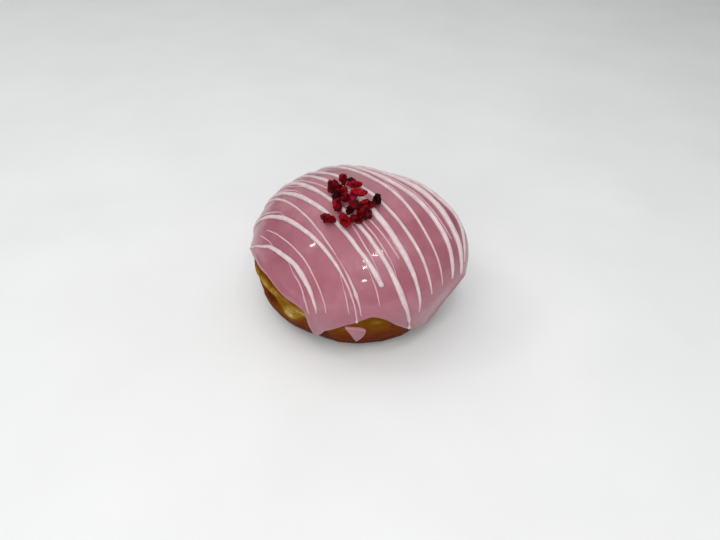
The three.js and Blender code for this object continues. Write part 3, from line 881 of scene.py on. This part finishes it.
def strand_rail(short_name, lines, number):
    """Swing, place across and breadth at even steps along a strand, joined ends included."""
    line = lines[short_name]
    for end, (other, reach) in JOINS.get(short_name, {}).items():
        line = join_end(line, end, lines[other], reach)

    last = len(line) - 1
    rough = catmull(line, np.linspace(0, last, STRAND_SAMPLES))
    arc = np.radians(np.ptp(rough[:, 0])) * STRAND_RADIUS
    count = max(LEAST_SECTIONS, int(arc / STRAND_STEP))
    swing, across, breadth = catmull(line, np.linspace(0, last, count)).T
    places = np.stack([swing * 0.7 * MM, across, np.full(count, number * 10 * MM)], -1)
    across = across + STRAND_WOBBLE * noise_field(places, 6.0, 51)
    breadth = breadth * (1 + layered(places, BREADTH_WANDER))
    if short_name in SWELLS:
        at, reach, share = SWELLS[short_name]
        breadth = breadth * (1 + share * bump(swing, at, reach))
    return swing, across, breadth


def strand_sizes(short_name, breadth, run):
    """Breadth and height of every section, with the drop at the front and the rounded ends."""
    length = run[-1]
    height = STRAND_HEIGHT + STRAND_STEEPNESS * breadth
    if short_name in BEADS:
        extra, drop_length, back, neck = BEADS[short_name]
        drop = bump(run, length - back * MM, drop_length * MM)
        drawn_in = bump(run, length - (back + 1.6 * drop_length) * MM - NECK_LENGTH / 2, NECK_LENGTH)
        breadth = np.maximum(breadth - neck * MM * drawn_in, NARROWEST_NECK) + extra * MM * drop
        height = height * (1 + BEAD_RISE * drop)
    ends = end_round(run, length, STRAND_END * breadth)
    return breadth * np.maximum(ends, NARROWEST_END), height * np.maximum(ends, LOWEST_END)


def make_strand(short_name, lines, glaze_tree, material, number):
    swing, across, breadth = strand_rail(short_name, lines, number)
    centres, outward = place_on(glaze_tree, swing, across)
    run_way = np.gradient(centres, axis=0)
    run_way /= np.linalg.norm(run_way, axis=1, keepdims=True)
    cross = np.cross(run_way, outward)
    cross /= np.linalg.norm(cross, axis=1, keepdims=True)
    steps = np.linalg.norm(np.diff(centres, axis=0), axis=1)
    breadth, height = strand_sizes(short_name, breadth, np.concatenate([[0], np.cumsum(steps)]))

    corners, tint = [], []
    for centre, side, up, wide, rise in zip(centres, cross, outward, breadth, height):
        half = wide / 2
        for angle in np.linspace(0, math.pi, SECTION_CORNERS):
            lift = (rise + STRAND_SINK) * math.sin(angle) ** SECTION_FULLNESS - STRAND_SINK
            corners.append(centre + side * math.cos(angle) * half + up * lift)
        corners.append(centre - side * half * 0.5 - up * STRAND_SINK * 2)
        corners.append(centre + side * half * 0.5 - up * STRAND_SINK * 2)
        shown = np.clip((THIN_BREADTH - wide / MM) / THIN_SPAN, 0, MOST_SHOWN)
        tint += [shown] * (SECTION_CORNERS + 2)
    columns, count = SECTION_CORNERS + 2, len(centres)
    faces = rings_to_faces(count, columns, flip=True)
    faces.append(tuple(range(columns)))
    faces.append(tuple(range((count - 1) * columns, count * columns))[::-1])
    piece = make_mesh(f"icing_{short_name}", corners, faces, material, tint)
    return belongs(piece, f"icing_strand_{short_name}")


# ---- the crumbs ------------------------------------------------------------------------------


def ball_corners(level):
    """Corners and faces of an even ball of radius 1."""
    shape = bmesh.new()
    bmesh.ops.create_icosphere(shape, subdivisions=level, radius=1.0)
    corners = np.array([v.co for v in shape.verts])
    faces = [tuple(v.index for v in f.verts) for f in shape.faces]
    shape.free()
    return corners, faces


BALL = ball_corners(5)

# The kind of each crumb in the order of their numbers: 0 is black-red, 0.5 red and 1 magenta.
CRUMB_KINDS = (
    0.52, 0.62, 0.5, 0.42, 0.6, 0.2, 0.08, 0.2, 0.5, 0.6, 0.55, 0.36, 1.0, 0.7, 0.62, 0.45, 0.2, 0.55,
)
CRUMB_FULLNESS = 1.37  # over half the CAD crumb's box; the flats cut this back
CRUMB_REACH = 1.12  # of the uncut ball
CRUMB_FLATS = 14
FLAT_DEPTHS = (0.6, 0.95)  # their distances from the middle
FLAT_SHARPNESS = 55  # of the edges between them
CREASES, CREASE_REACH = 2, 0.12
CREASE_OFFSET = 0.35  # the farthest that one runs from the middle
TAPER = 0.22  # how much slimmer a crumb is at one end
BEAD_SIZE = 1.5  # mm, of the fruit's beads
BEAD_HEIGHT, CREASE_DEPTH = 0.42, 0.42  # mm
CRUMB_SINK = 0.35 * MM
CRUMB_SEED = 700
NOISE_SHIFT = 0.031  # m from one crumb's noise to the next one's
GRAZING, UNCUT = 0.05, 9.0  # a flat seen at less than this cosine doesn't cut


def broken_shape(draw, unit):
    """The reach of a crumb in each direction: a ball cut by flats, and how deep its creases are."""
    reach = np.ones(len(unit)) * CRUMB_REACH
    for _ in range(CRUMB_FLATS):
        way = draw.normal(size=3)
        way /= np.linalg.norm(way)
        depth = draw.uniform(*FLAT_DEPTHS)
        facing = unit @ way
        cut = np.where(facing > GRAZING, depth / np.maximum(facing, GRAZING), UNCUT)
        both = np.exp(-FLAT_SHARPNESS * reach) + np.exp(-FLAT_SHARPNESS * cut)
        reach = -np.log(both) / FLAT_SHARPNESS
    creases = np.zeros(len(unit))
    for _ in range(CREASES):
        way = draw.normal(size=3)
        offset = draw.uniform(-CREASE_OFFSET, CREASE_OFFSET)
        creases += bump(unit @ (way / np.linalg.norm(way)), offset, CREASE_REACH)
    slim = draw.normal(size=3)
    return reach * (1 - TAPER * unit @ (slim / np.linalg.norm(slim))), creases


def make_crumb(node, number, material):
    """A dried raspberry piece: broken flats, a few of the fruit's beads, and crinkled skin."""
    low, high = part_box(node)
    half = np.array(high - low) / 2 * CRUMB_FULLNESS
    unit, faces = BALL
    reach, creases = broken_shape(np.random.default_rng(CRUMB_SEED + number), unit)
    rough = unit * half * reach[:, None]
    places = rough + np.array([NOISE_SHIFT * number, 0, 0])
    beads = np.minimum(cell_field(places, BEAD_SIZE, 61)[..., 0], 0.9)
    lift = BEAD_HEIGHT * (0.5 - beads) + layered(places, CRUMB_BUMPS) - CREASE_DEPTH * creases
    corners = rough + unit * (lift * MM)[:, None]
    middle = np.array(low + high) / 2 - np.array([0, 0, CRUMB_SINK])
    kind_and_shade = CRUMB_KINDS[number - 1] + 0.14 * noise_field(places, 2.5, 65)
    # Painted shade: darker in the grooves between the beads and in the creases.
    kind_and_shade -= 0.45 * np.maximum(beads - 0.5, 0) + 0.22 * creases
    piece = make_mesh(f"raspberry_{number:02d}", corners + middle, faces, material, np.clip(kind_and_shade, 0, 1))
    return belongs(piece, node)


# ---- the stage -------------------------------------------------------------------------------


def make_camera():
    low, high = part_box("dough")
    ground = Vector(((low.x + high.x) / 2, (low.y + high.y) / 2, 0))
    aim = ground + VIEW_AIM
    forward = Vector((0, math.cos(VIEW_ELEVATION), -math.sin(VIEW_ELEVATION)))
    level_right = Vector((1, 0, 0))
    level_up = level_right.cross(forward)
    right = level_right * math.cos(VIEW_ROLL) + level_up * math.sin(VIEW_ROLL)
    up = right.cross(forward)
    turn = Matrix((right, up, -forward)).transposed()
    data = bpy.data.cameras.new("camera")
    data.lens = LENS
    data.sensor_width = SENSOR_WIDTH
    data.clip_start = NEAR_CLIP
    data.clip_end = FAR_CLIP
    camera = bpy.data.objects.new("camera", data)
    bpy.context.scene.collection.objects.link(camera)
    camera.matrix_world = Matrix.Translation(aim - forward * VIEW_DISTANCE) @ turn.to_4x4()
    bpy.context.scene.camera = camera


LIGHT_AIM = Vector((0, 0, 0.03))  # the point that every light faces


def area_light(name, bearing, elevation, distance, size, power, colour):
    b, e = math.radians(bearing), math.radians(elevation)
    way = Vector((math.cos(b) * math.cos(e), math.sin(b) * math.cos(e), math.sin(e)))
    data = bpy.data.lights.new(name, "AREA")
    data.size = size
    data.energy = power
    data.color = colour
    light = bpy.data.objects.new(name, data)
    light.location = LIGHT_AIM + way * distance
    light.rotation_mode = "QUATERNION"
    light.rotation_quaternion = way.to_track_quat("Z", "Y")
    bpy.context.scene.collection.objects.link(light)
    return light


SURROUND_COLOUR = (0.93, 0.96, 1.0, 1)
SURROUND_LIGHT = 0.4  # its strength where it lights the object
SURROUND_SEEN = 0.75  # its strength where the camera sees it

# The wide lights: name, bearing and elevation in degrees, watts and colour.
SOFT_LIGHTS = (
    ("soft_left", 165, 66, 2.8, (1.0, 0.99, 0.975)),
    ("soft_front", -100, 40, 6.2, (0.98, 0.99, 1.0)),
    ("soft_right", -20, 50, 0.6, (1.0, 0.98, 0.96)),
)
SHEEN = (100, 42, 4.6, 1.5)  # bearing, elevation, watts and size of the wall that shines in the glaze
SOFT_DISTANCE = 1.0  # m
SOFT_SIZE = 0.9  # m
WARM_WHITE = (1.0, 0.99, 0.97)

# Small ceiling lamps that glint in the glaze, as (bearing, elevation) in degrees.
LAMPS = ((179, 49), (-93, 64), (-88, 55), (-76, 68), (-45, 67), (-86, 37))
LAMP_DISTANCE, LAMP_SIZE = 0.8, 0.045  # m
LAMP_POWER = 0.3  # W

FLOOR_REACH = 1.6  # m


def make_world():
    """An even pale surround that lights the object softly and shows paler than it lights."""
    world = bpy.data.worlds.new("studio")
    bpy.context.scene.world = world
    world.use_nodes = True
    nodes, links = world.node_tree.nodes, world.node_tree.links
    background = nodes["Background"]
    background.inputs["Color"].default_value = SURROUND_COLOUR
    path = nodes.new("ShaderNodeLightPath")
    strength = nodes.new("ShaderNodeMapRange")
    strength.inputs["To Min"].default_value = SURROUND_LIGHT
    strength.inputs["To Max"].default_value = SURROUND_SEEN
    links.new(path.outputs["Is Camera Ray"], strength.inputs["Value"])
    links.new(strength.outputs["Result"], background.inputs["Strength"])
    world.cycles_visibility.glossy = False


def make_stage():
    mesh = bpy.data.meshes.new("floor")
    signs = ((-1, -1), (1, -1), (1, 1), (-1, 1))
    mesh.from_pydata([(x * FLOOR_REACH, y * FLOOR_REACH, 0) for x, y in signs], [], [(0, 1, 2, 3)])
    mesh.materials.append(floor_look())
    floor = bpy.data.objects.new("floor", mesh)
    bpy.context.scene.collection.objects.link(floor)

    make_world()
    for name, bearing, elevation, power, colour in SOFT_LIGHTS:
        light = area_light(name, bearing, elevation, SOFT_DISTANCE, SOFT_SIZE, power, colour)
        light.visible_glossy = False
    bearing, elevation, power, size = SHEEN
    wall = area_light("bright_wall", bearing, elevation, SOFT_DISTANCE, size, power, WARM_WHITE)
    wall.visible_diffuse = False
    for number, (bearing, elevation) in enumerate(LAMPS):
        name = f"lamp_{number}"
        area_light(name, bearing, elevation, LAMP_DISTANCE, LAMP_SIZE, LAMP_POWER, WARM_WHITE)
    bpy.context.scene.view_settings.view_transform = "Standard"


# ---- assembly --------------------------------------------------------------------------------

make_camera()
make_stage()

make_bun(dough_look())
glaze_material = glaze_look()
glaze = make_coat("pink_glaze", "glaze", glaze_material, GLAZE)
make_coat("pink_glaze_flap", "glaze_flap", glaze_material, FLAP)

strand_nodes = sorted(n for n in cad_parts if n.startswith("icing_strand_"))
strand_lines = {n.removeprefix("icing_strand_"): strand_line(n) for n in strand_nodes}
glaze_surface = tree_of(glaze.data)
icing_material = icing_look()
for number, short_name in enumerate(strand_lines):
    make_strand(short_name, strand_lines, glaze_surface, icing_material, number)

berry_material = berry_look()
crumb_nodes = sorted(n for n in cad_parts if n.startswith("raspberry_crumb_"))
for number, node in enumerate(crumb_nodes, 1):
    make_crumb(node, number, berry_material)
